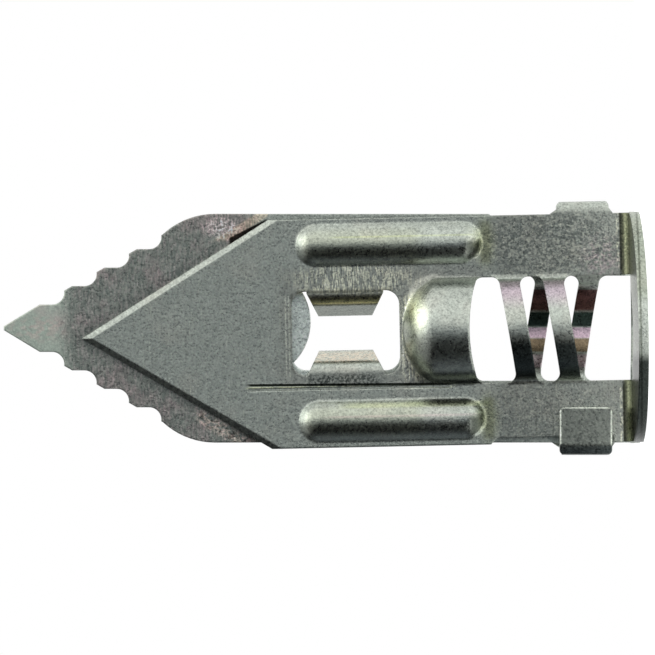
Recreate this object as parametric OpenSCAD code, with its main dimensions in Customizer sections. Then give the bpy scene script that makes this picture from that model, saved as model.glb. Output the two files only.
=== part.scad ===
// Self-driving wall anchor of two stamped sheet-steel arms, hooked together
// at the head so that they spread when a screw is driven between them.
// Z runs from the flange rims up to the blade's point, X across the arms,
// and Y through the sheets, with the plain front arm on the -Y side.

/* [Sheet] */
// Thickness of the sheet steel
sheet = 0.6; // [0.5:0.05:0.65]
// Free play between sheets that lie on each other
layer_play = 0.03; // [0.02:0.01:0.06]
// Width of each arm's body
arm_w = 14; // [13.6:0.1:14.6]

/* [Blade] */
// Height of the blade's point above the flange rims
blade_top = 39.3; // [38:0.1:42]
// Width of the blunt end of the point
point_w = 0.24; // [0.1:0.02:0.4]
// Height of the point above the first pair of teeth
point_h = 2.2; // [1.8:0.1:2.6]
// Width across the first pair of teeth
point_base_w = 2.9; // [2.6:0.1:3.2]
// Number of teeth along each edge
tooth_n = 4; // [3:1:5]
// Height from one tooth to the next
tooth_pitch = 1.98; // [1.8:0.02:2.1]
// How far each tooth stands out from the one above it
tooth_step = 1.13; // [1:0.02:1.25]
// Radius of the hollow below each tooth
scallop_r = 0.75; // [0.6:0.05:0.85]
// Radius of the shoulder where the teeth end
shoulder_r = 4.7; // [3.5:0.1:5]
// Height of the shoulder's round below the end of its taper
shoulder_drop = 1; // [0.5:0.1:1.5]
// Height at which the back arm steps forward into the blade
joggle_z = 23.6; // [23.2:0.1:24.4]
// Height of that step's slope
joggle_h = 2.2; // [1.6:0.1:2.6]

/* [Arrow] */
// Height of the front arm's point
arrow_top = 34.5; // [33.5:0.1:35.5]
// Angle of each edge of the point from the centre line
arrow_half_angle = 31.3; // [29:0.1:33]
// Width of the coined bevel along the point's edges
coin_w = 0.32; // [0.2:0.02:0.6]
// Depth of that bevel
coin_d = 0.22; // [0.1:0.02:0.3]
// Sideways lean of the front arm, from the play in the hooks
arm_lean = 1.2; // [0:0.1:1.3]

/* [Flange] */
// Radius of the round flange
flange_r = 7.2; // [7.2:0.1:7.8]
// Inside radius of the bend into the flange
flange_bend_r = 0.6; // [0.4:0.05:0.9]
// Angle by which each half flange stops short of a square bend
flange_spring = 3; // [1:0.5:5]
// Clearance of the screw's entry hole round the screw channel
entry_clear = 0.15; // [0.05:0.05:0.4]

/* [Hooks] */
// Height of the hook's lower edge
hook_low = 2.1; // [2:0.1:2.4]
// Height of the hook's upper edge
hook_high = 5.3; // [5:0.1:5.6]
// Length of the hook's lip from the hook's outer face
hook_reach = 2.92; // [2.4:0.1:3.4]
// Inside radius of the hook's two bends
hook_bend_r = 0.12; // [0.08:0.02:0.2]
// Corner radius of the lip
hook_corner_r = 0.32; // [0.2:0.02:0.5]
// Height that the hook's root flares out beyond its edges
hook_flare = 0.45; // [0.3:0.05:0.6]
// Space between the hook's side and the arm's edge line
hook_stand = 0.15; // [0.1:0.05:0.3]
// Play between the lip and the sheet it holds
hook_play = 0.22; // [0.2:0.02:0.3]
// Depth of the edge notch that clears the other arm's hook
notch_d = 0.4; // [0.3:0.05:0.6]
// Height of the notch's lower end
notch_low = 1.8; // [1.7:0.05:1.9]
// Height of the notch's upper end
notch_high = 10; // [8:0.1:11]
// Height of the axis that the arms turn about
hinge_z = 4.4; // [4.2:0.1:4.6]

/* [Screw channel] */
// Inside radius of the channel between the two arms
channel_r = 2.65; // [2.4:0.05:2.8]
// Outside radius of the bend at a strip's foot
foot_r = 0.4; // [0.3:0.05:0.6]
// Width of sheet under each strip's foot
foot_land = 0.18; // [0.1:0.01:0.3]
// Number of strips on each arm
strip_n = 2; // [1:1:2]
// Width of a strip
strip_w = 1.2; // [1:0.05:1.4]
// Height of the front arm's upper strip on the centre line
strip_z = 7.83; // [7.6:0.01:8]
// Pitch of the thread that the strips form
strip_pitch = 2.69; // [2.5:0.01:2.8]
// How much lower the back arm's strips lie
strip_drop = 1.23; // [1:0.01:1.5]
// Angle at which the strips rise across the slot
strip_lean = 9; // [8:0.2:13]
// Radius of the slot's corners, and of the corners beside the strips
slot_corner_r = 0.5; // [0.3:0.05:0.6]
// Height of the slot's rounded upper end on the centre line
slot_top = 10.8; // [10.6:0.1:11.2]
// Radius of the slot's rounded upper end
slot_end_r = 10.6; // [8:0.1:14]

/* [Lead-in bulge] */
// How far the bulge's inside stands clear of the channel
bulge_clear = 0.13; // [0:0.01:0.2]
// Height at which the bulge starts to narrow
bulge_taper_z = 13; // [12.4:0.1:13.4]
// Angle of the narrowing side from the centre line
bulge_taper_angle = 32; // [25:1:38]
// Height of the rounded nose's top
nose_top = 15; // [14.6:0.05:15.05]
// Radius of the rounded nose
nose_r = 4.2; // [3.9:0.1:4.6]

/* [Window] */
// Height of the window's lower edge
window_low = 15.05; // [14.9:0.05:15.3]
// Height of the window's upper edge
window_high = 21.65; // [21.2:0.05:22]
// Width of the window
window_w = 5.14; // [5:0.02:5.5]
// Corner radius of the window
window_corner_r = 0.85; // [0.5:0.05:1.1]
// Width of each flap at its bend
flap_root_w = 4.7; // [4.2:0.1:4.9]
// Width of each flap at its free edge
flap_end_w = 3.3; // [2.8:0.1:3.8]
// Length of each flap's flat part
flap_len = 1.6; // [1.2:0.1:1.8]
// Inside radius of the flap's bend
flap_bend_r = 0.26; // [0.2:0.02:0.35]
// Angle that each flap is bent through
flap_angle = 68; // [60:1:80]
// Distance of each flap's bend from the window's side
flap_set = 0.12; // [0.05:0.01:0.2]
// Radius of the tongue at the top of the back arm's window
tongue_r = 3.5; // [3.2:0.05:4]
// Height of the tongue's lowest point
tongue_low = 20.52; // [20.4:0.02:21]
// Distance of the tongue from the centre line
tongue_off = 0.38; // [0:0.02:0.7]

/* [Beads] */
// Distance of each stiffening bead from the centre line
bead_x = 5.38; // [5.3:0.01:5.42]
// Width of a bead
bead_w = 2.5; // [2:0.05:2.6]
// Height that a bead stands out of the sheet
bead_h = 0.65; // [0.4:0.05:0.8]
// Height of a bead's lower end
bead_low = 9.9; // [9:0.1:10.5]
// Height of a bead's upper end
bead_high = 21.3; // [20.5:0.1:21.8]
// Distance of the scored line from the centre line
score_x = 3.36; // [3.3:0.02:3.6]
// Width of the scored line
score_w = 0.16; // [0.1:0.02:0.3]
// Depth of the scored line
score_d = 0.14; // [0.05:0.01:0.2]
// Height of the scored line's lower end
score_low = 12; // [11.6:0.1:13]
// Height of the scored line's upper end
score_high = 24.4; // [23:0.1:25]

/* [Hidden] */
$fn = 96;

// The sheets: the inside and outside faces of an arm, from the centre plane.
// The blade lies in the centre plane, between the two arms.
half_w = arm_w / 2;
inner_y = sheet / 2 + layer_play;
outer_y = inner_y + sheet;
span = 100;
// Angles by which two bends that run into each other overlap: a wide one and
// the narrow one at a strip's foot
lap = 1;
foot_lap = 5;

// Flange: its bend's centre, such that the rim's lowest point is at 0
bend_y = outer_y + flange_bend_r;
bend_z = (flange_r - bend_y) * tan(flange_spring) + (flange_bend_r + sheet) / cos(flange_spring);
bend_angle = 90 - flange_spring;
entry_r = channel_r + entry_clear;

// A leaning flange dips on one side, so the leaning arm is raised by as much
lean_lift = flange_r * (sqrt(pow(tan(flange_spring), 2) + pow(sin(arm_lean), 2)) - tan(flange_spring));

// Blade: the taper through the tooth tips ends at the body's full width
tooth_z = blade_top - point_h;
tooth_x = point_base_w / 2;
taper_end_z = tooth_z - (half_w - tooth_x) * tooth_pitch / tooth_step;
shoulder_z = taper_end_z - shoulder_drop;

// The taper runs down into the shoulder's round, square to one of its radii
taper_angle = atan(tooth_step / tooth_pitch);
taper_reach = shoulder_r * cos(taper_angle) + shoulder_drop * sin(taper_angle);
hollow_end_z = tooth_z - (tooth_n - 1) * tooth_pitch - 2 * scallop_r;

// Arrow
arrow_base = arrow_top - half_w / tan(arrow_half_angle);

// Hooks
wall_in = half_w + hook_stand;
wall_out = wall_in + sheet;
lip_y = outer_y + hook_play;

// Screw channel: the bend at a strip's foot touches the crown and the sheet
foot_reach = channel_r + sheet + foot_r;
foot_drop = outer_y + foot_r;
foot_x = sqrt(pow(foot_reach, 2) - pow(foot_drop, 2));
crown_angle = asin(foot_x / foot_reach);
slot_half = foot_x - foot_land;
slot_corner_x = slot_half - slot_corner_r;
slot_crown_x = slot_corner_x * slot_end_r / (slot_end_r - slot_corner_r) - 1.5 * layer_play;
slot_corner_z = slot_top - slot_end_r + sqrt(pow(slot_end_r - slot_corner_r, 2) - pow(slot_corner_x, 2));
strip_half_h = strip_w / 2 / cos(strip_lean);
bulge_r = channel_r + bulge_clear + sheet;
bulge_low = slot_corner_z + slot_corner_r / 4;

// Window and flaps
window_half = window_w / 2;
window_mid = (window_low + window_high) / 2;
flap_line = window_half - flap_set;
flap_root = (score_x - flap_line) / 2;
flap_end_x = flap_line - (flap_bend_r + sheet) * sin(flap_angle) - flap_len * cos(flap_angle);

// Beads: the round that gives the width and the height
bead_r = (pow(bead_w / 2, 2) + pow(bead_h, 2)) / (2 * bead_h);
bead_y = bead_r - bead_h - outer_y;

// Points of a fan from the origin, between two angles
function fan(from, to, r) =
    concat([[0, 0]], [for (i = [0:8]) r * [cos(from + (to - from) * i / 8), sin(from + (to - from) * i / 8)]]);

// Part of a bent sheet in section: a ring between two angles
module bend_2d(r, from, to) {
    intersection() {
        difference() {
            circle(r + sheet);
            circle(r);
        }
        polygon(fan(from, to, 2 * (r + sheet)));
    }
}

module round_rect_2d(x0, x1, y0, y1, r) {
    translate([x0 + r, y0])
        square([x1 - x0 - 2 * r, y1 - y0]);
    translate([x0, y0 + r])
        square([x1 - x0, y1 - y0 - 2 * r]);
    for (x = [x0 + r, x1 - r])
        for (y = [y0 + r, y1 - r])
            translate([x, y])
                circle(r);
}

// A plan outline, x across and y up, cut from the arm's flat sheet
module flat_sheet() {
    translate([0, -inner_y, 0])
        rotate([90, 0, 0])
            linear_extrude(sheet)
                children();
}

// A plan outline through the whole depth
module through() {
    rotate([90, 0, 0])
        linear_extrude(2 * span, center = true)
            children();
}

// A side profile, y and z, over a width
module across(w) {
    rotate([90, 0, 90])
        linear_extrude(w, center = true)
            children();
}

// Everything on the outside of the arm's inner face
module outside() {
    intersection() {
        children();
        translate([-span / 2, -span - inner_y, -span / 2])
            cube([span, span, 2 * span]);
    }
}

// --- Outlines ---

// The arm's body up to a height, with the notch that clears the other arm's
// hook
module body_2d(top) {
    polygon([
        [half_w, bend_z],
        [half_w, top],
        [-half_w, top],
        [-half_w, notch_high - notch_d],
        [notch_d - half_w, notch_high - 2 * notch_d],
        [notch_d - half_w, notch_low],
        [-half_w, notch_low],
        [-half_w, bend_z]
    ]);
}

module arrow_2d() {
    body_2d(arrow_base);
    polygon([[-half_w, arrow_base], [half_w, arrow_base], [0, arrow_top]]);
}

// The hollow below one tooth of the right-hand edge
module scallop_2d() {
    translate([scallop_r, -scallop_r])
        circle(scallop_r);
    translate([0, -scallop_r])
        square([2 * scallop_r, scallop_r]);
}

module blade_2d() {
    body_2d(shoulder_z);
    for (side = [0, 1])
        mirror([side, 0]) {
            difference() {
                polygon([
                    [0, shoulder_z],
                    [half_w - shoulder_r, shoulder_z],
                    [
                        half_w - shoulder_r + taper_reach * cos(taper_angle),
                        shoulder_z + taper_reach * sin(taper_angle)
                    ],
                    [tooth_x, tooth_z],
                    [point_w / 2, blade_top],
                    [0, blade_top]
                ]);
                for (i = [0:tooth_n - 1])
                    translate([tooth_x + i * tooth_step, tooth_z - i * tooth_pitch])
                        scallop_2d();
            }
            translate([half_w - shoulder_r, shoulder_z])
                intersection() {
                    circle(shoulder_r);
                    square([shoulder_r, hollow_end_z - shoulder_z]);
                }
        }
}

module window_2d() {
    round_rect_2d(-window_half, window_half, window_low, window_high, window_corner_r);
}

// --- Features of both arms ---

// Side profile of the flange: the foot of the sheet, its bend, and the flat
module flange_2d() {
    translate([-bend_y, bend_z]) {
        translate([flange_bend_r, 0])
            square([sheet, flange_bend_r]);
        bend_2d(flange_bend_r, -bend_angle, 0);
        rotate(flange_spring)
            translate([-flange_r, -flange_bend_r - sheet])
                square([flange_r, sheet]);
    }
}

// Plan of half the flange, with the bend that joins it to the arm
module half_flange_2d() {
    difference() {
        union() {
            intersection() {
                circle(flange_r);
                translate([-flange_r, -bend_y - flange_r])
                    square([2 * flange_r, flange_r]);
            }
            translate([-half_w, -bend_y - layer_play])
                square([arm_w, bend_y + layer_play]);
        }
        circle(entry_r);
    }
}

module half_flange() {
    intersection() {
        across(2 * flange_r)
            flange_2d();
        linear_extrude(4 * flange_r, center = true)
            half_flange_2d();
    }
}

module slot_2d() {
    translate([-slot_half, bend_z])
        square([2 * slot_half, slot_corner_z - bend_z]);
    for (side = [-1, 1])
        translate([side * slot_corner_x, slot_corner_z])
            circle(slot_corner_r);
    intersection() {
        translate([0, slot_top - slot_end_r])
            circle(slot_end_r);
        translate([-slot_crown_x, bend_z])
            square([2 * slot_crown_x, slot_top]);
    }
}

// The slot takes the sheet and its bend, and stops at the flat flange
module slot() {
    through()
        slot_2d();
    translate([0, -bend_y, bend_z])
        across(2 * slot_half)
            polygon(fan(-bend_angle, 45, 2 * bend_y));
}

// Section of a strip: a round crown with a fillet at each foot
module strip_2d() {
    bend_2d(channel_r, -90 - crown_angle - lap, -90 + crown_angle + lap);
    for (side = [0, 1])
        mirror([side, 0])
            translate([foot_x, -foot_drop])
                bend_2d(foot_r, 90, 90 + crown_angle + foot_lap);
}

// The round corner beside a strip's foot, above its middle or below
module strip_corner_2d(side) {
    corner_z = side * (strip_half_h + slot_corner_r / cos(strip_lean)) + slot_corner_x * tan(strip_lean);
    inner_x = slot_corner_x + side * slot_corner_r * sin(strip_lean);
    difference() {
        translate([inner_x, min(0, corner_z)])
            square([foot_x + sheet - inner_x, abs(corner_z)]);
        translate([slot_corner_x, corner_z])
            circle(slot_corner_r);
    }
}

// Front view of a strip: a slanted band with a round corner at each root
module strip_plan_2d() {
    reach = foot_x + sheet;
    rise = reach * tan(strip_lean);
    polygon([
        [reach, rise - strip_half_h],
        [reach, rise + strip_half_h],
        [-reach, strip_half_h - rise],
        [-reach, -strip_half_h - rise]
    ]);
    for (turn = [0, 180])
        for (side = [-1, 1])
            rotate(turn)
                strip_corner_2d(side);
}

module strips(top_z) {
    for (i = [0:strip_n - 1])
        translate([0, 0, top_z - i * strip_pitch])
            intersection() {
                linear_extrude(2 * strip_pitch, center = true)
                    strip_2d();
                through()
                    strip_plan_2d();
            }
}

// The lead-in bulge, solid, with its skin drawn in by a thickness
module bulge(skin) {
    r = bulge_r - skin;
    taper_r = bulge_r - skin / cos(bulge_taper_angle);
    taper_h = taper_r / tan(bulge_taper_angle);
    intersection() {
        translate([0, 0, bulge_low - skin])
            cylinder(r = r, h = nose_top - bulge_low + skin);
        union() {
            translate([0, 0, bulge_taper_z])
                cylinder(r1 = taper_r, r2 = 0, h = taper_h);
            translate([0, 0, bulge_taper_z - slot_end_r])
                cylinder(r = taper_r, h = slot_end_r);
        }
        translate([0, 0, nose_top - nose_r])
            union() {
                sphere(nose_r - skin);
                translate([0, 0, -slot_end_r])
                    cylinder(r = nose_r - skin, h = slot_end_r);
            }
    }
}

module beads(skin) {
    for (side = [-1, 1])
        translate([side * bead_x, bead_y, 0]) {
            translate([0, 0, bead_low + bead_w / 2])
                cylinder(r = bead_r - skin, h = bead_high - bead_low - bead_w);
            for (z = [bead_low + bead_w / 2, bead_high - bead_w / 2])
                translate([0, 0, z])
                    sphere(bead_r - skin);
        }
}

// Section of the hook: out past the edge, round, and back behind the other arm
module hook_2d() {
    translate([half_w - 1, -outer_y])
        square([hook_stand - hook_bend_r + 1, sheet]);
    translate([wall_in - hook_bend_r, hook_bend_r - inner_y])
        bend_2d(hook_bend_r, -90, 0);
    translate([wall_in, hook_bend_r - inner_y])
        square([sheet, lip_y + inner_y - 2 * hook_bend_r]);
    translate([wall_in - hook_bend_r, lip_y - hook_bend_r])
        bend_2d(hook_bend_r, 0, 90);
    translate([wall_out - hook_reach, lip_y])
        square([hook_reach - sheet - hook_bend_r, sheet]);
}

module hook() {
    intersection() {
        linear_extrude(2 * hook_high)
            hook_2d();
        union() {
            translate([0, span, 0])
                through()
                    round_rect_2d(wall_out - hook_reach, wall_out, hook_low, hook_high, hook_corner_r);
            translate([0, -span, 0])
                through()
                    polygon([
                        [half_w - 1, hook_low - hook_flare / 2],
                        [half_w, hook_low - hook_flare / 2],
                        [half_w + sheet / 2, hook_low],
                        [wall_out, hook_low + hook_flare / 3],
                        [wall_out, hook_high - hook_flare / 3],
                        [half_w + sheet / 2, hook_high],
                        [half_w, hook_high + hook_flare],
                        [half_w - 1, hook_high + hook_flare]
                    ]);
        }
    }
}

// An arm, from its flat sheet and the height of its upper strip
module arm(top_strip_z) {
    difference() {
        union() {
            children();
            half_flange();
            outside()
                bulge(0);
            outside()
                beads(0);
        }
        bulge(sheet);
        beads(sheet);
        slot();
    }
    strips(top_strip_z);
    hook();
}

// --- Front arm ---

// A bevel pressed along one edge of the arrow
module coin_cut() {
    translate([0, -outer_y, arrow_top])
        rotate([0, -arrow_half_angle, 0])
            translate([-coin_w, 0, 0])
                rotate([0, 0, atan(coin_d / coin_w)])
                    translate([0, -sheet, -span / 2])
                        cube([3 * coin_w, sheet, span]);
}

// Two flaps folded in from the sides of the window
module flaps() {
    for (side = [0, 1])
        mirror([side, 0])
            intersection() {
                linear_extrude(window_high)
                    translate([flap_line, flap_bend_r - inner_y]) {
                        translate([0, -flap_bend_r - sheet])
                            square([flap_root, sheet]);
                        bend_2d(flap_bend_r, -90 - flap_angle, -90);
                        rotate(-flap_angle)
                            translate([-flap_len, -flap_bend_r - sheet])
                                square([flap_len, sheet]);
                    }
                through()
                    polygon([
                        [flap_line + flap_root, window_mid + flap_root_w / 2],
                        [flap_line, window_mid + flap_root_w / 2],
                        [flap_end_x, window_mid + flap_end_w / 2],
                        [flap_end_x - 1, window_mid + flap_end_w / 2],
                        [flap_end_x - 1, window_mid - flap_end_w / 2],
                        [flap_end_x, window_mid - flap_end_w / 2],
                        [flap_line, window_mid - flap_root_w / 2],
                        [flap_line + flap_root, window_mid - flap_root_w / 2]
                    ]);
            }
}

module front_arm() {
    color("#8b9086")
        translate([0, 0, hinge_z + lean_lift])
            rotate([0, -arm_lean, 0])
                translate([0, 0, -hinge_z]) {
                    arm(strip_z)
                        difference() {
                            flat_sheet()
                                difference() {
                                    arrow_2d();
                                    window_2d();
                                }
                            for (side = [0, 1])
                                mirror([side, 0])
                                    coin_cut();
                            translate([-score_x - score_w / 2, -outer_y - score_d, score_low])
                                cube([score_w, 2 * score_d, score_high - score_low]);
                        }
                    flaps();
                }
}

// --- Back arm ---

// Side profile of the sheet as it steps forward into the blade
module stepped_2d() {
    polygon([
        [-outer_y, bend_z],
        [-inner_y, bend_z],
        [-inner_y, joggle_z],
        [sheet / 2, joggle_z + joggle_h],
        [sheet / 2, blade_top],
        [-sheet / 2, blade_top],
        [-sheet / 2, joggle_z + joggle_h],
        [-outer_y, joggle_z]
    ]);
}

module back_window_2d() {
    difference() {
        window_2d();
        translate([-tongue_off, tongue_low + tongue_r])
            circle(tongue_r);
    }
}

module back_arm() {
    color("#7d837a")
        rotate([0, 0, 180])
            arm(strip_z - strip_drop)
                intersection() {
                    across(arm_w)
                        stepped_2d();
                    through()
                        difference() {
                            blade_2d();
                            back_window_2d();
                        }
                }
}

front_arm();
back_arm();
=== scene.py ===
"""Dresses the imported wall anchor: zinc-plated steel on both stamped arms, on a plain white stage."""

import math
from typing import NamedTuple

import bpy
from mathutils import Matrix, Vector


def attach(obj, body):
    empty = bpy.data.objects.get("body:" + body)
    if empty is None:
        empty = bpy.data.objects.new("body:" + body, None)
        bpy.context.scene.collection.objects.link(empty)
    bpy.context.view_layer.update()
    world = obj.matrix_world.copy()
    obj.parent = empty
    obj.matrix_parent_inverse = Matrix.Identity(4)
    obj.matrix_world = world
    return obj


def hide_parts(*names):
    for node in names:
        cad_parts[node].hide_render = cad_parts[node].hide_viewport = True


bl_info = {
    "name": "Sheet steel wall anchor",
    "version": (1, 0, 0),
    "blender": (4, 5, 0),
    "location": "View3D > Sidebar > Anchor",
    "description": "Finishes the two stamped arms of a self-driving wall anchor and lights them",
    "category": "Object",
}

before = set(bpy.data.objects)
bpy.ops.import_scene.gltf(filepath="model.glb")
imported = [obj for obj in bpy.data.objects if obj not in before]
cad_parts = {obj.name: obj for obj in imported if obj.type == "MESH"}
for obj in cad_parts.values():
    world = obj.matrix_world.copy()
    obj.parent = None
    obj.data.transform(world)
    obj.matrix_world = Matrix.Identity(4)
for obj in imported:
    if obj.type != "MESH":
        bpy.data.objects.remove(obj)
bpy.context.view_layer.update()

MM = 0.001
ORIGIN = (0.0, 0.0, 0.0)
WHITE = (1.0, 1.0, 1.0, 1.0)

# Faces that bend by less than this are shaded smooth, and corners nearer than this are joined
SMOOTH_ANGLE = math.radians(33)
SAME_POINT = 0.001 * MM

# Samples of the sheared edges' rounding and of the pressed forms'
EDGE_SAMPLES = 4
PRESS_SAMPLES = 6

# How the front arm leans on its hinge, in degrees and in mm
FRONT_LEAN = 1.2
FRONT_LIFT = 0.029
HINGE_HEIGHT = 4.4

# The front arm's arrow: its point in mm, and half its angle in degrees
ARROW_TOP = 34.5
ARROW_HALF_ANGLE = 31.3

# The back arm, in mm: its step below the blade, how far its sheet's middle stands off, and
# the radius at which the inside of its strips ends
STEP_LOW = 23.6
STEP_HEIGHT = 2.2
SHEET_MIDDLE = 0.63
STRIP_INSIDE = (2.85, 2.95)

# How deep the relief of each arm's plating is, and how much its crystals change its colour and
# its roughness
FRONT_RELIEF = 0.004 * MM
BACK_RELIEF = 0.005 * MM
MOTTLE_DEPTH = 0.46
ROUGHNESS_CHANGE = 0.12

# The light that the steel reflects, from the side that is below in the view to the side above it
SIDE_LIGHT = (
    (0.0, 0.2), (0.04, 0.08), (0.1, 0.005), (0.36, 0.005), (0.44, 0.16),
    (0.5, 0.36), (0.57, 0.75), (0.66, 1.2), (0.85, 1.3), (1.0, 1.1),
)

# Its tone on the side below and on the side above, and where it changes
COOL_LIGHT = (0.92, 1.0, 1.1, 1.0)
WARM_LIGHT = (1.0, 1.0, 0.985, 1.0)
TONE_EDGE = (-0.15, 0.3)

# The direction of the soft light past the blade's point, and the light's levels there, past the
# point and past the flange
LAMP_SIDE = (0.3, -0.3, 0.905)
LAMP_LEVEL = (2.7, 2.7, 2.6, 1.0)
POINT_LEVEL = (0.9, 0.9, 0.9, 1.0)
FLANGE_LEVEL = (0.2, 0.2, 0.2, 1.0)

# How near a direction has to be, as a cosine, where these lights begin and where they are full,
# and the same for the white background that the steel mirrors
LAMP_EDGE = (0.88, 0.985)
POINT_EDGE = (0.5, 0.95)
FLANGE_EDGE = (0.3, 0.9)
BACKGROUND_EDGE = (0.5, 0.85)

# How much of the side light gives way to the light past the point and past the flange
POINT_SHARE = 0.5
FLANGE_SHARE = 0.6

# The floor's colour, and the camera's film width in mm and clipping in metres
FLOOR_COLOUR = (0.8, 0.8, 0.8, 1.0)
FILM_WIDTH = 36.0
CLIP = (0.01, 20.0)


# --- Node maths ---


class Value:
    """A node socket that can be used in Python expressions."""

    def __init__(self, tree, socket):
        self.tree = tree
        self.socket = socket

    def math(self, operation, *others, swap=False):
        node = self.tree.nodes.new("ShaderNodeMath")
        node.operation = operation
        terms = [self, *others]
        if swap:
            terms.reverse()
        for term, entry in zip(terms, node.inputs):
            put(self.tree, entry, term)
        return Value(self.tree, node.outputs[0])

    def __add__(self, other):
        return self.math("ADD", other)

    __radd__ = __add__

    def __sub__(self, other):
        return self.math("SUBTRACT", other)

    def __rsub__(self, other):
        return self.math("SUBTRACT", other, swap=True)

    def __mul__(self, other):
        return self.math("MULTIPLY", other)

    __rmul__ = __mul__

    def __pow__(self, other):
        return self.math("POWER", other)

    def __neg__(self):
        return self.math("MULTIPLY", -1.0)

    def __abs__(self):
        return self.math("ABSOLUTE")

    def limited(self):
        """Kept between 0 and 1."""
        return self.math("MAXIMUM", 0.0).math("MINIMUM", 1.0)


def put(tree, entry, value):
    """Links a socket to an input, or sets the input's value."""
    if isinstance(value, Value):
        tree.links.new(value.socket, entry)
    else:
        entry.default_value = value


class Nodes:
    """The node tree of a material or a world."""

    def __init__(self, owner):
        owner.use_nodes = True
        self.tree = owner.node_tree
        self.tree.nodes.clear()

    def node(self, kind, settings=None, inputs=None, output=0):
        """Adds a node: its settings first, then its sockets' values or links."""
        node = self.tree.nodes.new(kind)
        for name, value in (settings or {}).items():
            if name == "stops":
                self.set_stops(node.color_ramp, value)
            else:
                setattr(node, name, value)
        for name, value in (inputs or {}).items():
            put(self.tree, node.inputs[name], value)
        return Value(self.tree, node.outputs[output]) if len(node.outputs) else None

    @staticmethod
    def set_stops(ramp, stops):
        while len(ramp.elements) < len(stops):
            ramp.elements.new(1.0)
        for element, (place, colour) in zip(ramp.elements, stops):
            element.position = place
            element.color = colour

    def ramp(self, value, stops):
        """A colour ramp over a value."""
        return self.node("ShaderNodeValToRGB", {"stops": stops}, {"Fac": value})

    def step(self, value, low, high):
        """0 below low, 1 above high, and a smooth step between."""
        settings = {"interpolation_type": "SMOOTHSTEP"}
        inputs = {"Value": value, "From Min": low, "From Max": high}
        return self.node("ShaderNodeMapRange", settings, inputs)

    def between(self, value, low, high, soft):
        """1 between two values, 0 outside them, with soft ends. None leaves an end open."""
        if high is None:
            return self.step(value, low - soft, low + soft)
        fall = self.step(value, high - soft, high + soft)
        if low is None:
            return 1.0 - fall
        return self.step(value, low - soft, low + soft) - fall

    def mix(self, amount, first, second, blend="MIX"):
        """Blends two colours."""
        settings = {"data_type": "RGBA", "blend_type": blend}
        inputs = {0: amount, 6: first, 7: second}
        return self.node("ShaderNodeMix", settings, inputs, output=2)

    def noise(self, place, scale, detail=2.0, roughness=0.5, distortion=0.0):
        inputs = {
            "Vector": place,
            "Scale": scale,
            "Detail": detail,
            "Roughness": roughness,
            "Distortion": distortion,
        }
        return self.node("ShaderNodeTexNoise", None, inputs)

    def stretched(self, place, scale):
        """The same place with its axes scaled."""
        return self.node("ShaderNodeMapping", None, {"Vector": place, "Scale": scale})

    def path(self, kind):
        """1 for rays of a kind: camera, glossy or transmission."""
        order = {"camera": 0, "glossy": 3, "transmission": 6}
        return self.node("ShaderNodeLightPath", output=order[kind])

    def axes(self, vector):
        """The three numbers of a vector."""
        first = self.node("ShaderNodeSeparateXYZ", None, {"Vector": vector})
        return [Value(self.tree, output) for output in first.socket.node.outputs]


# --- Settings ---


class ANCHOR_PG_Finish(bpy.types.PropertyGroup):
    steel: bpy.props.FloatVectorProperty(
        name="Steel", description="Colour of the plated sheet", subtype="COLOR",
        size=3, min=0, max=1, default=(0.385, 0.42, 0.385),
    )
    roughness: bpy.props.FloatProperty(
        name="Roughness", description="Roughness of the plated sheet", min=0, max=1, default=0.3,
    )
    edge_round: bpy.props.FloatProperty(
        name="Edge rounding", description="Radius of the sheared edges", subtype="DISTANCE",
        unit="LENGTH", min=0, default=0.12 * MM,
    )
    press_round: bpy.props.FloatProperty(
        name="Press rounding", description="Radius of the edges of the beads and the bulge",
        subtype="DISTANCE", unit="LENGTH", min=0, default=0.24 * MM,
    )
    dome_round: bpy.props.FloatProperty(
        name="Dome rounding", description="Radius of the bend round the end of the bulge",
        subtype="DISTANCE", unit="LENGTH", min=0, default=0.9 * MM,
    )


class ANCHOR_PG_Stage(bpy.types.PropertyGroup):
    view_width: bpy.props.FloatProperty(
        name="View width", description="Width that the camera sees at the anchor", subtype="DISTANCE",
        unit="LENGTH", min=0.01, default=40.1 * MM,
    )
    view_distance: bpy.props.FloatProperty(
        name="View distance", description="Distance from the camera to the anchor", subtype="DISTANCE",
        unit="LENGTH", min=0.1, default=0.7,
    )
    view_height: bpy.props.FloatProperty(
        name="View height", description="Height of the camera above the floor", subtype="DISTANCE",
        unit="LENGTH", min=0, default=19.49 * MM,
    )
    view_shift: bpy.props.FloatProperty(
        name="View shift", description="How far the camera stands to the anchor's +X side",
        subtype="DISTANCE", unit="LENGTH", default=0.045 * MM,
    )
    floor_size: bpy.props.FloatProperty(
        name="Floor size", description="Length of the floor's side", subtype="DISTANCE",
        unit="LENGTH", min=0.04, default=0.05,
    )


def deselect_all():
    if bpy.context.mode != "OBJECT":
        bpy.ops.object.mode_set(mode="OBJECT")
    bpy.ops.object.select_all(action="DESELECT")


# --- Shapes ---


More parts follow.
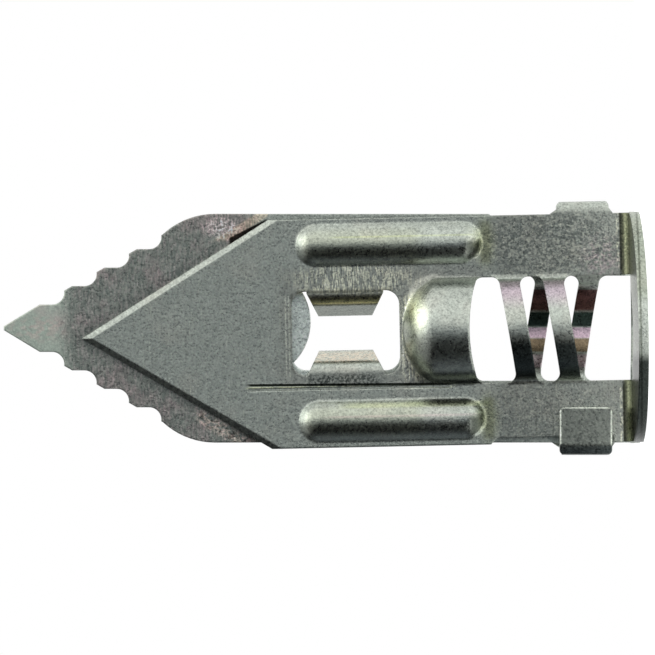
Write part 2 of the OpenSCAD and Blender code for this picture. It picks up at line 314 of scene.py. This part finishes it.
def smooth_copy(node_name, piece_name, body):
    """A copy of one arm with joined faces, shaded smooth along its bends, that stands for it."""
    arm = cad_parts[node_name]
    deselect_all()
    arm.select_set(True)
    bpy.context.view_layer.objects.active = arm
    bpy.ops.object.duplicate()
    piece = bpy.context.object
    piece.name = piece_name
    bpy.ops.mesh.customdata_custom_splitnormals_clear()
    bpy.ops.object.mode_set(mode="EDIT")
    bpy.ops.mesh.select_all(action="SELECT")
    bpy.ops.mesh.remove_doubles(threshold=SAME_POINT)
    bpy.ops.mesh.normals_make_consistent(inside=False)
    bpy.ops.object.mode_set(mode="OBJECT")
    bpy.ops.object.shade_smooth_by_angle(angle=SMOOTH_ANGLE, keep_sharp_edges=False)
    evened = piece.modifiers.new("Evened", "WEIGHTED_NORMAL")
    evened.keep_sharp = True
    evened.weight = 100
    bpy.ops.object.modifier_apply(modifier=evened.name)
    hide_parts(node_name)
    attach(piece, body)
    return piece


# --- Finishes ---


class Specks(NamedTuple):
    """Breaks an area up by noise: the terms of its grain, and where it begins and is full."""

    grain: tuple
    low: float
    high: float


class Tint(NamedTuple):
    """Multiplies the colour by a shade in a part of an area.

    Across, up and out are spans in mm: the low end, the high end and how soft they are.
    """

    area: str
    shade: tuple
    strength: float = 1.0
    across: tuple = None
    up: tuple = None
    out: tuple = None
    both_sides: bool = False
    specks: Specks = None


class Spot(NamedTuple):
    """Multiplies the colour by a shade in an oval, whose middle and half size are in mm."""

    area: str
    shade: tuple
    strength: float
    middle: tuple
    size: tuple
    soft: float
    specks: Specks = None


# Tints of the front arm, in mm: across and up the arm, and out from the middle between the arms
FRONT_TINTS = {
    "steel between the beads": Tint(
        "flat", (0.84, 0.82, 0.82), 0.9, across=(-3.2, 4.0, 0.3), up=(9.8, 22.4, 0.6),
    ),
    "steel near the flange": Tint("flat", (0.74, 0.73, 0.73), 0.9, up=(None, 9.3, 0.7)),
    "speckled press mark": Tint(
        "flat", (0.3, 0.32, 0.32), across=(-3.3, -2.55, 0.12), up=(16.4, 20.7, 0.12),
        specks=Specks((0.16,), 0.42, 0.58),
    ),
    "line over the window": Tint(
        "flat", (1.8, 1.78, 1.7), 0.8, across=(-2.7, 2.4, 0.2), up=(21.97, 22.05, 0.04),
    ),
    "second line over the window": Tint(
        "flat", (1.8, 1.78, 1.7), 0.8, across=(-2.7, 2.4, 0.2), up=(21.77, 21.84, 0.04),
    ),
    "line under the window": Tint(
        "flat", (1.8, 1.78, 1.7), 0.8, across=(-2.7, 0.0, 0.3), up=(14.82, 14.92, 0.04),
    ),
    "window's top edge": Tint(
        "outside", (0.4, 0.4, 0.38), 0.8, across=(-2.3, 2.5, 0.3), up=(21.5, 21.68, 0.05),
    ),
    "window's side edge": Tint(
        "outside", (0.4, 0.4, 0.38), 0.8, across=(2.45, 2.62, 0.05), up=(15.6, 21.4, 0.2),
    ),
    # Painted shade along the arm's lower cut edge, which faces down
    "painted shade on the lower cut edge": Tint(
        "all", (0.35, 0.37, 0.38), 0.9, across=(None, -6.92, 0.08), up=(8.15, None, 0.15),
    ),
    # Olive of the plating in the concave bend into the flange, darkened there as painted shade
    "painted shade on the olive bend into the flange": Tint("outside", (0.42, 0.42, 0.27), 0.9, up=(0.92, 1.42, 0.12)),
    # Painted highlight: a bright beaded line where the sheet starts to bend into the flange
    "painted beaded highlight at the flange bend's start": Tint(
        "outside", (2.2, 2.1, 1.9), across=(3.6, None, 0.2), up=(1.52, 1.68, 0.05), both_sides=True,
        specks=Specks((0.12, 0.3, 1.0), 0.4, 0.6),
    ),
    "start of the flange bend": Tint(
        "outside", (0.3, 0.3, 0.26), across=(3.4, None, 0.2), up=(1.36, 1.5, 0.05), both_sides=True,
    ),
    # Painted shade on the flange's rim: dark on its lower side, because it faces away from the light
    "painted shade on the flange rim's lower side": Tint(
        "all", (0.05, 0.06, 0.06), 0.95, across=(None, -1.75, 0.45), up=(None, 0.9, 0.1),
    ),
    # Painted shade, lighter, on the rim's lit upper side
    "lighter painted shade on the flange rim's upper side": Tint(
        "all", (0.7, 0.72, 0.66), 0.9, across=(1.75, None, 0.45), up=(None, 0.875, 0.075),
    ),
    "line on the flange's rim": Tint("all", (0.35, 0.36, 0.33), 0.8, up=(0.4, 0.52, 0.04)),
    "feet of the beads": Tint(
        "outside", (0.62, 0.62, 0.56), 0.8, across=(4.1, 6.65, 0.1), up=(9.4, 10.0, 0.15),
        both_sides=True,
    ),
    # Painted shade on the ends of the beads, darkest on their lower halves
    "painted shade on one bead's end": Tint(
        "bead ends", (0.22, 0.23, 0.22), across=(4.2, 5.5, 0.25), up=(9.9, 10.9, 0.3),
    ),
    "painted shade on the other bead's end": Tint(
        "bead ends", (0.22, 0.23, 0.22), across=(-6.6, -5.2, 0.25), up=(9.9, 10.9, 0.3),
    ),
    "painted shade on both beads' ends": Tint(
        "bead ends", (0.8, 0.8, 0.74), 0.5, across=(4.1, None, 0.1), up=(9.9, 10.9, 0.3),
        both_sides=True,
    ),
    # Painted highlights, yellow and pink, along the upper slopes of the beads
    "painted yellow highlight on one bead": Tint(
        "outside", (1.25, 1.28, 0.85), 0.5, across=(5.8, 5.9, 0.04), up=(10.6, 19.0, 0.6),
    ),
    "painted yellow highlight on the other bead's edge": Tint(
        "outside", (1.25, 1.28, 0.85), 0.5, across=(-4.6, -4.3, 0.1), up=(9.8, 18.5, 0.8),
    ),
    "painted pink highlight on the other bead": Tint(
        "outside", (1.35, 1.1, 1.2), 0.5, across=(-5.2, -5.06, 0.05), up=(10.6, 19.5, 0.8),
    ),
    "bulge's sloped end": Tint(
        "all", (0.95, 0.93, 0.78), 0.5, up=(13.8, None, 0.6), out=(1.275, None, 0.225),
    ),
    # Painted shade on the lower side of the bulge, which faces away from the light
    "painted shade on the bulge's lower side": Tint(
        "all", (0.25, 0.26, 0.27), 0.9, across=(-3.5, -2.5, 0.15), up=(9.7, 13.8, 0.4),
        out=(0.97, None, 0.03),
    ),
    # Painted pink reflection on the upper side of the strips, and painted shade on their lower side
    "painted pink reflection on the strips' upper side": Tint("strips", (1.22, 0.95, 1.2), 0.9, across=(1.7, None, 0.7)),
    "painted shade on the strips' lower side": Tint("strips", (0.13, 0.15, 0.16), across=(None, -0.65, 0.45)),
    # Olive painted light on the bend of the upper flap
    "painted olive light on the upper flap's bend": Tint(
        "all", (1.8, 1.55, 0.9), 0.9, across=(1.8, 2.75, 0.05), up=(15.4, 21.3, 0.05),
        out=(0.1, 0.88, 0.08),
    ),
    "line on the flap": Tint("flaps", (0.3, 0.28, 0.2), across=(1.72, 1.84, 0.04)),
    # Painted light on the lower flap, which faces up
    "painted wavy light on the lower flap": Tint(
        "flaps", (1.4, 1.2, 1.12), across=(None, -1.15, 0.15),
        specks=Specks((0.25, 0.12, 2.0, 0.6, 1.0), 0.4, 0.6),
    ),
    "painted light on the lower flap": Tint("flaps", (1.15, 1.08, 1.0), 0.6, across=(None, -1.15, 0.15)),
    "yellow past one bead": Spot(
        "outside", (1.1, 1.1, 0.8), 0.6, (5.38, 9.75), (1.3, 0.6), 0.6,
    ),
    "yellow past the other bead": Spot(
        "outside", (1.1, 1.1, 0.8), 0.6, (-5.38, 9.75), (1.3, 0.6), 0.6,
    ),
    # Painted highlight on the sloped end of the bulge
    "painted highlight on the bulge's nose": Spot(
        "outside", (1.7, 1.68, 1.5), 1.0, (1.15, 14.1), (0.95, 0.6), 0.7,
    ),
    "pink worn spot": Spot(
        "flat", (1.5, 1.2, 1.35), 0.7, (4.2, 2.6), (1.2, 1.0), 0.7, Specks((0.2,), 0.42, 0.6),
    ),
}

# Tints of the back arm
BACK_TINTS = {
    "worn blade": Tint("worn", (0.72, 0.71, 0.7), 0.9),
    "smooth tip": Tint("tip", (1.55, 1.62, 1.52), 0.9),
    "pink on the tip": Spot(
        "all", (1.25, 1.0, 1.04), 0.8, (0.0, 37.2), (0.7, 1.6), 0.8, Specks((0.5, 0.3), 0.42, 0.62),
    ),
    # Painted shade along the arm's lower cut edge, which faces down
    "painted shade on the lower cut edge": Tint(
        "all", (0.45, 0.47, 0.48), 0.9, across=(6.92, None, 0.08), up=(8.15, None, 0.15),
    ),
    # Painted light on the tongue, which lies between the arms and shows through the front window
    "tongue": Tint(
        "inner side", (1.85, 1.86, 1.92), 0.9, across=(-3.2, 3.2, 0.05), up=(20.45, 22.2, 0.05),
    ),
    "sparkle on the shoulder": Spot(
        "step", (3.0, 2.7, 2.8), 1.0, (-6.1, 26.0), (0.55, 0.9), 0.8, Specks((0.16,), 0.42, 0.56),
    ),
    # Painted highlight in specks on the low shoulder, which faces up
    "painted highlight specks on the low shoulder": Tint(
        "low shoulder", (2.4, 2.0, 1.9), specks=Specks((0.3, 0.2), 0.44, 0.54),
    ),
    "dark specks on the low shoulder": Tint(
        "low shoulder", (0.3, 0.3, 0.3), specks=Specks((0.26, 0.2), 0.46, 0.38),
    ),
    "hook's lip": Tint("lip", (0.46, 0.46, 0.45), 0.9),
    # Painted highlight along the upper edge of the hook's lip
    "painted highlight on the lip's upper edge": Tint("lip's rim", (2.3, 2.25, 2.15), 0.8, across=(4.05, None, 0.05)),
    # Painted shade where the hook bends round, facing down
    "painted shade where the hook bends": Tint(
        "all", (0.2, 0.22, 0.24), 0.95, across=(7.15, None, 0.1), out=(None, -0.3, 0.1),
    ),
    # Heat tints inside the strips' channel, mixed with painted reflections
    "red in the channel": Tint("channel", (0.3, 0.14, 0.14), across=(None, -1.05, 0.15)),
    "green in the channel": Tint("channel", (0.1, 0.14, 0.13), across=(-1.0, -0.1, 0.08)),
    "pink in the channel": Tint("channel", (1.3, 0.92, 1.2), across=(-0.05, 0.6, 0.06)),
    "brown in the channel": Tint("channel", (0.5, 0.36, 0.26), across=(0.62, 1.45, 0.08)),
    "pale pink in the channel": Tint("channel", (1.3, 1.05, 1.2), across=(1.6, None, 0.1)),
}


class Sheet(Nodes):
    """A finish of plated sheet, drawn by the place on the arm: x across it and z up it, in mm."""

    def __init__(self, name, turn, shift):
        self.material = bpy.data.materials.new(name)
        super().__init__(self.material)
        spot = self.node("ShaderNodeTexCoord", output=3)
        self.place = self.node(
            "ShaderNodeMapping", None,
            {"Vector": spot, "Location": shift, "Rotation": turn, "Scale": (1 / MM,) * 3},
        )
        self.x, self.y, self.z = self.axes(self.place)
        outside = self.step(-self.y, 0.8, 0.9)
        self.areas = {
            "outside": outside,
            "inner side": 1.0 - outside,
            "flat": outside * self.step(self.y, -1.02, -0.97),
        }

    def oval(self, middle, size, soft=0.5):
        """1 in an oval, fading to 0 outside it."""
        x, z = (self.x - middle[0]) * (1 / size[0]), (self.z - middle[1]) * (1 / size[1])
        return 1.0 - self.step((x ** 2.0 + z ** 2.0) ** 0.5, 1.0 - soft, 1.0 + soft)

    def block(self, x_low, x_high, z_low, z_high, soft=0.1):
        """1 in a block, 0 outside it."""
        return self.between(self.x, x_low, x_high, soft) * self.between(self.z, z_low, z_high, soft)

    def grain(self, size, x_size=None, detail=2.0, roughness=0.5, distortion=0.0):
        """Noise with grains of a size, which may be drawn out across the arm."""
        drawn = self.stretched(self.place, (1 / (x_size or size), 1 / size, 1 / size))
        return self.noise(drawn, 1.0, detail, roughness, distortion)

    def lines(self, size, length, share):
        """Fine bright lines across the arm, on a share of it."""
        return self.step(self.grain(size, length, 1.0), 0.72 - share, 0.8 - share)

    def mottle(self):
        """Fine and coarser crystals of the zinc, from 0 to 1."""
        fine = self.step(self.grain(0.13, None, 2.0, 0.6), 0.3, 0.7)
        coarse = self.step(self.grain(0.3, 0.22, 2.0, 0.6, 1.0), 0.3, 0.7)
        return fine * 0.6 + coarse * 0.4

    def tint(self, colour, amount, shade):
        """Multiplies a colour by a shade where the amount is 1."""
        return self.mix(amount, colour, self.mix(1.0, colour, (*shade, 1.0), "MULTIPLY"))

    def plate(self, steel, mottle, depth):
        """The steel's colour, lighter and darker by the mottle."""
        low, high = 1.0 - depth * 0.7, 1.0 + depth * 1.1
        shades = self.mix(mottle, (low, low, low, 1.0), (high, high * 0.995, high * 0.98, 1.0))
        return self.mix(1.0, (*steel, 1.0), shades, "MULTIPLY")

    def masks(self, tint):
        """All that limits a tint: its area, its spans or oval, and its specks."""
        if tint.area != "all":
            yield self.areas[tint.area]
        if isinstance(tint, Spot):
            yield self.oval(tint.middle, tint.size, tint.soft)
        else:
            x = abs(self.x) if tint.both_sides else self.x
            for value, span in ((x, tint.across), (self.z, tint.up), (-self.y, tint.out)):
                if span:
                    yield self.between(value, *span)
        if tint.specks:
            yield self.step(self.grain(*tint.specks.grain), tint.specks.low, tint.specks.high)

    def paint(self, colour, tints):
        """Puts a table of tints on a colour."""
        for tint in tints.values():
            amount = math.prod(self.masks(tint), start=tint.strength)
            colour = self.tint(colour, amount, tint.shade)
        return colour

    def pressed_forms(self):
        """1 on the beads and the bulge and round their edges."""
        beads = self.between(abs(self.x), 4.0, 6.75, 0.05) * self.between(self.z, 9.55, 21.65, 0.05)
        bulge = self.block(-3.5, 3.5, 10.6, 14.85, 0.05)
        return (beads + bulge).limited() * self.areas["outside"]

    def bulge_end(self):
        """1 where the bulge slopes down to the flat sheet."""
        return self.block(-3.4, 3.4, 12.6, 14.45, 0.3) * self.areas["outside"]

    def finish(self, settings, colour, mottle, height, relief):
        """Joins colour, roughness and relief in the shader, softer where the sheet is pressed."""
        edge = {"samples": EDGE_SAMPLES}
        rounded = self.node("ShaderNodeBevel", edge, {"Radius": settings.edge_round})
        for area, radius in (
            (self.pressed_forms(), settings.press_round),
            (self.bulge_end(), settings.dome_round),
        ):
            pressed = {"samples": PRESS_SAMPLES}
            softer = self.node("ShaderNodeBevel", pressed, {"Radius": radius})
            entries = {0: area, 4: rounded, 5: softer}
            rounded = self.node("ShaderNodeMix", {"data_type": "VECTOR"}, entries, output=1)
        bumped = self.node(
            "ShaderNodeBump", None,
            {"Strength": 1.0, "Distance": relief, "Height": height, "Normal": rounded},
        )
        roughness = settings.roughness + (mottle - 0.5) * ROUGHNESS_CHANGE
        shader = self.node(
            "ShaderNodeBsdfPrincipled", None,
            {"Base Color": colour, "Metallic": 1.0, "Roughness": roughness, "Normal": bumped},
        )
        self.node("ShaderNodeOutputMaterial", None, {"Surface": shader})
        return self.material


def rough_plating(s, colour):
    """Wormy plating beside the strips, and how high it stands."""
    worms = s.grain(0.2, 0.16, 2.0, 0.6, 1.0)
    patch = s.oval((5.2, 5.6), (1.9, 4.8), 0.35) + s.oval((-5.2, 6.2), (1.7, 4.6), 0.35) * 0.6
    patch = patch * s.areas["outside"]
    colour = s.tint(colour, patch * s.step(worms, 0.47, 0.57), (0.55, 0.57, 0.58))
    colour = s.tint(colour, patch * s.step(worms, 0.5, 0.38), (1.4, 1.36, 1.3))
    return colour, worms * patch


def scratches(s, colour):
    """Scratches across the sheet beside and below the window, and where the bright ones are."""
    beside_window = s.oval((3.3, 17.8), (0.9, 3.4), 0.4)
    below_window = s.block(-3.0, 2.2, 13.6, 14.9, 0.3)
    scratched = (beside_window + below_window).limited() * s.areas["flat"]
    bright = s.lines(0.08, 0.5, 0.26) * scratched
    dark = s.step(s.grain(0.09, 0.6, 1.0), 0.46, 0.36) * scratched
    faint = s.lines(0.05, 2.2, 0.03) * s.areas["flat"] * 0.25
    colour = s.tint(colour, dark * 0.8, (0.45, 0.47, 0.5))
    return s.tint(colour, (bright + faint).limited(), (2.3, 2.2, 1.95)), bright


def scored_line(s, colour):
    """The groove scored along one bead, painted dark as shade, a painted highlight on its edge beside
    it, and where its groove is.
    """
    line = s.x + (s.z - 12.0) * -0.012
    groove = s.between(line, -3.32, -3.18, 0.03) * s.between(s.z, 12.0, 24.4, 0.2)
    groove = groove * s.areas["outside"]
    beside = s.between(line, -3.45, -3.35, 0.04) * s.between(s.z, 12.0, 24.3, 0.4)
    beside = beside * s.areas["flat"] * s.step(s.grain(0.5, None, 1.0), 0.25, 0.55)
    # Painted shade in the scored groove
    colour = s.tint(colour, groove, (0.06, 0.07, 0.06))
    # Painted highlight on the groove's edge beside it
    return s.tint(colour, beside, (2.4, 2.35, 1.6)), groove


def imprint(s, colour):
    """The faint outline pressed in beside the hook."""
    outline = s.block(-6.5, -5.1, 5.75, 6.85, 0.04) - s.block(-6.42, -5.18, 5.83, 6.77, 0.04)
    return s.tint(colour, outline.limited() * s.areas["flat"] * 0.5, (0.5, 0.5, 0.48))


def front_plating(settings, turn, shift):
    """The plain front arm: mottled plating, scratched beside the window, worn at the flange, with
    painted light and shade on its beads, bulge, strips, flaps, edges and flange.
    """
    s = Sheet("Front arm plating", turn, shift)
    s.areas["bead ends"] = s.between(-s.y, 1.1, None, 0.05)
    s.areas["strips"] = s.between(-s.y, 1.35, None, 0.25) * s.between(s.z, 2.0, 9.7, 0.1)
    s.areas["flaps"] = (
        s.areas["inner side"] * s.block(-2.7, 2.7, 15.3, 21.4, 0.05) * s.step(s.y, -0.7, -0.5)
    )
    mottle = s.mottle()
    broad = s.grain(2.4, None, 2.0, 0.5)
    colour = s.plate(settings.steel, mottle, MOTTLE_DEPTH)
    colour = s.tint(colour, s.step(broad, 0.45, 0.7) * 0.5, (1.1, 1.04, 1.02))
    colour, worms = rough_plating(s, colour)
    colour, bright_scratches = scratches(s, colour)
    colour, groove = scored_line(s, colour)
    colour = s.paint(imprint(s, colour), FRONT_TINTS)
    height = mottle + worms * 1.2 + broad * 1.5 - groove * 4.0 - bright_scratches * 0.3
    return s.finish(settings, colour, mottle, height, FRONT_RELIEF)


def past_arrow(s, x):
    """How far a place lies outside the front arm's arrow, in mm."""
    half_angle = math.radians(ARROW_HALF_ANGLE)
    return abs(x) * math.cos(half_angle) - (ARROW_TOP - s.z) * math.sin(half_angle)


def arrow_shade_and_light(s, colour):
    """Painted shadow beside the arrow, and where the blade steps forward a painted shadow in the
    opening under the arrow's edge, with a painted beige reflection along it.
    """
    past = past_arrow(s, (s.z - HINGE_HEIGHT) * math.tan(math.radians(FRONT_LEAN)) - s.x)
    # Painted shadow on the blade along the front arm's arrow
    arrow_shadow = s.areas["step"] * s.areas["worn"] * s.between(past, -1.0, 0.5, 0.35)
    colour = s.tint(colour, arrow_shadow * 0.5, (0.6, 0.58, 0.6))
    # Painted beige reflection on the sloping face of the step
    edge = s.areas["step"] * s.step(-s.x, 5.2, 5.6) * s.step(s.z, 23.1, 23.2)
    colour = s.tint(colour, edge * s.between(past, 0.3, 0.8, 0.1) * 0.8, (2.1, 1.75, 1.5))
    # Painted shadow in the opening between the arrow's edge and the step
    from_gap = past - (s.z - 23.2) * 0.11
    gap_shadow = s.between(s.z, 23.2, 25.5, 0.08) * s.between(from_gap, -1.2, 0.18, 0.04)
    gap_shadow = s.areas["step"] * gap_shadow * s.step(-s.x, 4.6, 4.9)
    s.areas["low shoulder"] = (
        s.areas["step"] * s.step(s.x, 4.4, 5.2) * s.between(s.z, STEP_LOW, 27.4, 0.4)
        * s.between(past, 0.1, 0.8, 0.3)
    )
    return s.tint(colour, gap_shadow, (0.06, 0.055, 0.05))


def back_plating(settings, turn, shift):
    """The back arm: the same plating, with heat tints on its blade, heat tints mixed with painted
    reflections on its strips, and painted light and shade at its step, edges, tongue and hook.
    """
    s = Sheet("Back arm plating", turn, shift)
    blade = s.step(s.z, 23.4, 24.2)
    tip = s.step(s.z, 34.6, 36.4)
    middle = (1.0 - ((s.z - STEP_LOW) * (1 / STEP_HEIGHT)).limited()) * -SHEET_MIDDLE
    from_middle = (s.x ** 2.0 + s.y ** 2.0) ** 0.5
    over_front_arm = s.step(s.y, 1.1, 1.3)
    s.areas["tip"] = tip
    s.areas["worn"] = blade * (1.0 - tip)
    s.areas["step"] = s.step(s.y - middle, 0.05, 0.15)
    s.areas["lip"] = over_front_arm * s.block(4.9, 7.2, 2.2, 5.2, 0.06)
    s.areas["lip's rim"] = over_front_arm * (1.0 - s.areas["lip"]) * s.between(s.x, None, 7.1, 0.1)
    s.areas["channel"] = (
        s.step(-s.y, 1.0, 1.3) * s.between(s.z, 2.0, 9.7, 0.1)
        * (1.0 - s.step(from_middle, *STRIP_INSIDE))
    )
    mottle = s.mottle() * (1.0 - tip * 0.6) + tip * 0.3
    broad = s.grain(2.6, None, 2.0, 0.5)
    streak = s.grain(0.13, 0.5, 3.0, 0.6)
    colour = s.plate(settings.steel, mottle, MOTTLE_DEPTH)
    colour = s.tint(colour, s.areas["worn"] * s.step(streak, 0.5, 0.62) * 0.8, (1.45, 1.3, 1.36))
    colour = s.tint(colour, s.areas["worn"] * s.step(streak, 0.48, 0.36) * 0.8, (0.6, 0.65, 0.66))
    colour = s.tint(colour, blade * s.step(broad, 0.52, 0.66) * 0.6, (1.2, 1.0, 1.06))
    colour = s.paint(arrow_shade_and_light(s, colour), BACK_TINTS)
    height = mottle + broad * 1.5 + blade * streak * 2.0
    return s.finish(settings, colour, mottle, height, BACK_RELIEF)


def put_finish(piece, material):
    """Puts a finish on one arm."""
    piece.data.materials.clear()
    piece.data.materials.append(material)


class ANCHOR_OT_front_arm(bpy.types.Operator):
    """Makes and plates the front arm, which has the plain arrow point"""

    bl_idname = "anchor.front_arm"
    bl_label = "Front arm"

    def execute(self, context):
        piece = smooth_copy("front_arm", "front_arm_sheet", "front")
        turn = (0.0, math.radians(FRONT_LEAN), 0.0)
        raised = Vector((0, 0, HINGE_HEIGHT + FRONT_LIFT))
        shift = Vector((0, 0, HINGE_HEIGHT)) - Matrix.Rotation(turn[1], 3, "Y") @ raised
        put_finish(piece, front_plating(context.scene.anchor_finish, turn, shift))
        return {"FINISHED"}


class ANCHOR_OT_back_arm(bpy.types.Operator):
    """Makes and plates the back arm, which carries the toothed blade"""

    bl_idname = "anchor.back_arm"
    bl_label = "Back arm"

    def execute(self, context):
        piece = smooth_copy("back_arm", "back_arm_sheet", "back")
        turn = (0.0, 0.0, math.pi)
        put_finish(piece, back_plating(context.scene.anchor_finish, turn, ORIGIN))
        return {"FINISHED"}


# --- Stage ---


def studio_world(scene):
    """A plain white background, and the soft light that the steel reflects."""
    world = bpy.data.worlds.new("Studio")
    scene.world = world
    n = Nodes(world)
    direction = n.node("ShaderNodeTexCoord", output=0)
    x, y, z = n.axes(direction)
    side = n.ramp(x * 0.5 + 0.5, [(place, (v, v, v, 1.0)) for place, v in SIDE_LIGHT])
    toward_lamp = x * LAMP_SIDE[0] + y * LAMP_SIDE[1] + z * LAMP_SIDE[2]
    tone = n.mix(n.step(x, *TONE_EDGE), COOL_LIGHT, WARM_LIGHT)
    level = n.mix(1.0, side, tone, "MULTIPLY")
    level = n.mix(n.step(z, *POINT_EDGE) * POINT_SHARE, level, POINT_LEVEL)
    level = n.mix(n.step(toward_lamp, *LAMP_EDGE), level, LAMP_LEVEL)
    level = n.mix(n.step(-z, *FLANGE_EDGE) * FLANGE_SHARE, level, FLANGE_LEVEL)
    mirrored = (n.path("glossy") + n.path("transmission")).limited()
    mirrored = mirrored * n.step(y, *BACKGROUND_EDGE)
    lit = n.node("ShaderNodeBackground", None, {"Color": level, "Strength": 1.0})
    plain = n.node("ShaderNodeBackground", None, {"Color": WHITE, "Strength": 1.0})
    seen = (n.path("camera") + mirrored).limited()
    both = n.node("ShaderNodeMixShader", None, {0: seen, 1: lit, 2: plain})
    n.node("ShaderNodeOutputWorld", None, {"Surface": both})


def white_floor(size):
    bpy.ops.mesh.primitive_plane_add(size=size, location=ORIGIN)
    floor = bpy.context.object
    floor.name = "floor"
    material = bpy.data.materials.new("Floor paper")
    n = Nodes(material)
    paper = n.node("ShaderNodeBsdfDiffuse", None, {"Color": FLOOR_COLOUR})
    seen = (n.path("camera") + n.path("glossy") + n.path("transmission")).limited()
    glow = n.node("ShaderNodeEmission", None, {"Color": WHITE, "Strength": 1.0})
    lit = n.node("ShaderNodeAddShader", None, {0: paper, 1: glow})
    both = n.node("ShaderNodeMixShader", None, {0: seen, 1: paper, 2: lit})
    n.node("ShaderNodeOutputMaterial", None, {"Surface": both})
    floor.data.materials.append(material)


def level_camera(settings):
    """A level camera in front of the anchor, rolled so that the blade points left."""
    place = (settings.view_shift, -settings.view_distance, settings.view_height)
    bpy.ops.object.camera_add(location=place)
    camera = bpy.context.object
    right, up, back = Vector((0, 0, -1)), Vector((1, 0, 0)), Vector((0, -1, 0))
    camera.rotation_euler = Matrix((right, up, back)).transposed().to_euler()
    camera.data.sensor_width = FILM_WIDTH
    camera.data.lens = FILM_WIDTH * settings.view_distance / settings.view_width
    camera.data.clip_start, camera.data.clip_end = CLIP
    bpy.context.scene.camera = camera


class ANCHOR_OT_stage(bpy.types.Operator):
    """Sets the camera, the floor and the light"""

    bl_idname = "anchor.stage"
    bl_label = "Stage"

    def execute(self, context):
        deselect_all()
        settings = context.scene.anchor_stage
        context.scene.view_settings.view_transform = "Standard"
        studio_world(context.scene)
        white_floor(settings.floor_size)
        level_camera(settings)
        return {"FINISHED"}


# --- Panel ---


class ANCHOR_PT_panel(bpy.types.Panel):
    """Lists the anchor's pieces and settings"""

    bl_idname = "ANCHOR_PT_panel"
    bl_label = "Wall anchor"
    bl_space_type = "VIEW_3D"
    bl_region_type = "UI"
    bl_category = "Anchor"

    def draw(self, context):
        for group in (context.scene.anchor_finish, context.scene.anchor_stage):
            for name in group.bl_rna.properties.keys():
                if name not in {"rna_type", "name"}:
                    self.layout.prop(group, name)
        for operator in OPERATORS:
            self.layout.operator(operator.bl_idname)


OPERATORS = (ANCHOR_OT_front_arm, ANCHOR_OT_back_arm, ANCHOR_OT_stage)
CLASSES = (ANCHOR_PG_Finish, ANCHOR_PG_Stage, *OPERATORS, ANCHOR_PT_panel)


def register():
    for cls in CLASSES:
        bpy.utils.register_class(cls)
    bpy.types.Scene.anchor_finish = bpy.props.PointerProperty(type=ANCHOR_PG_Finish)
    bpy.types.Scene.anchor_stage = bpy.props.PointerProperty(type=ANCHOR_PG_Stage)


def unregister():
    del bpy.types.Scene.anchor_stage
    del bpy.types.Scene.anchor_finish
    for cls in reversed(CLASSES):
        bpy.utils.unregister_class(cls)


def main():
    register()
    bpy.ops.anchor.front_arm()
    bpy.ops.anchor.back_arm()
    bpy.ops.anchor.stage()


if __name__ == "__main__":
    main()
